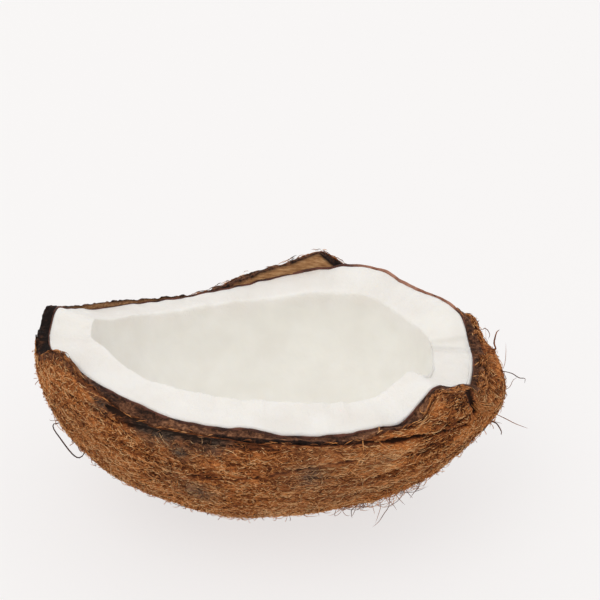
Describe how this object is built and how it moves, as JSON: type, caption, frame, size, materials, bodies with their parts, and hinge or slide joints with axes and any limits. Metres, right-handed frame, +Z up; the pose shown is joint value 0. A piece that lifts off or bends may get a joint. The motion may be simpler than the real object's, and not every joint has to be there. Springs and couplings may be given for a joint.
{
  "type": "coconut half",
  "caption": "Broken half of a dry brown coconut, lying hollow side up: shaggy fibre coat, hard dark shell, thin brown seed coat and thick white flesh round an open hollow.",
  "frame": {"origin": "middle of the nut, on the surface that the half rests on", "axes": "+X along the nut towards the end with the eyes, +Z up out of the hollow"},
  "size_m": [0.1441, 0.1047, 0.0635],
  "materials": {
    "flesh": "moist, waxy white flesh, cut face smooth, greyer inside the hollow",
    "seed_coat": "thin matt red-brown skin on the flesh",
    "shell": "hard, nearly black where broken",
    "coir": "rough matted orange-brown fibre running from end to end"
  },
  "bodies": {
    "root": {"flesh": "flesh", "seed_coat": "seed_coat", "shell": "shell", "fibre_coat": "coir"}
  },
  "joints": []
}
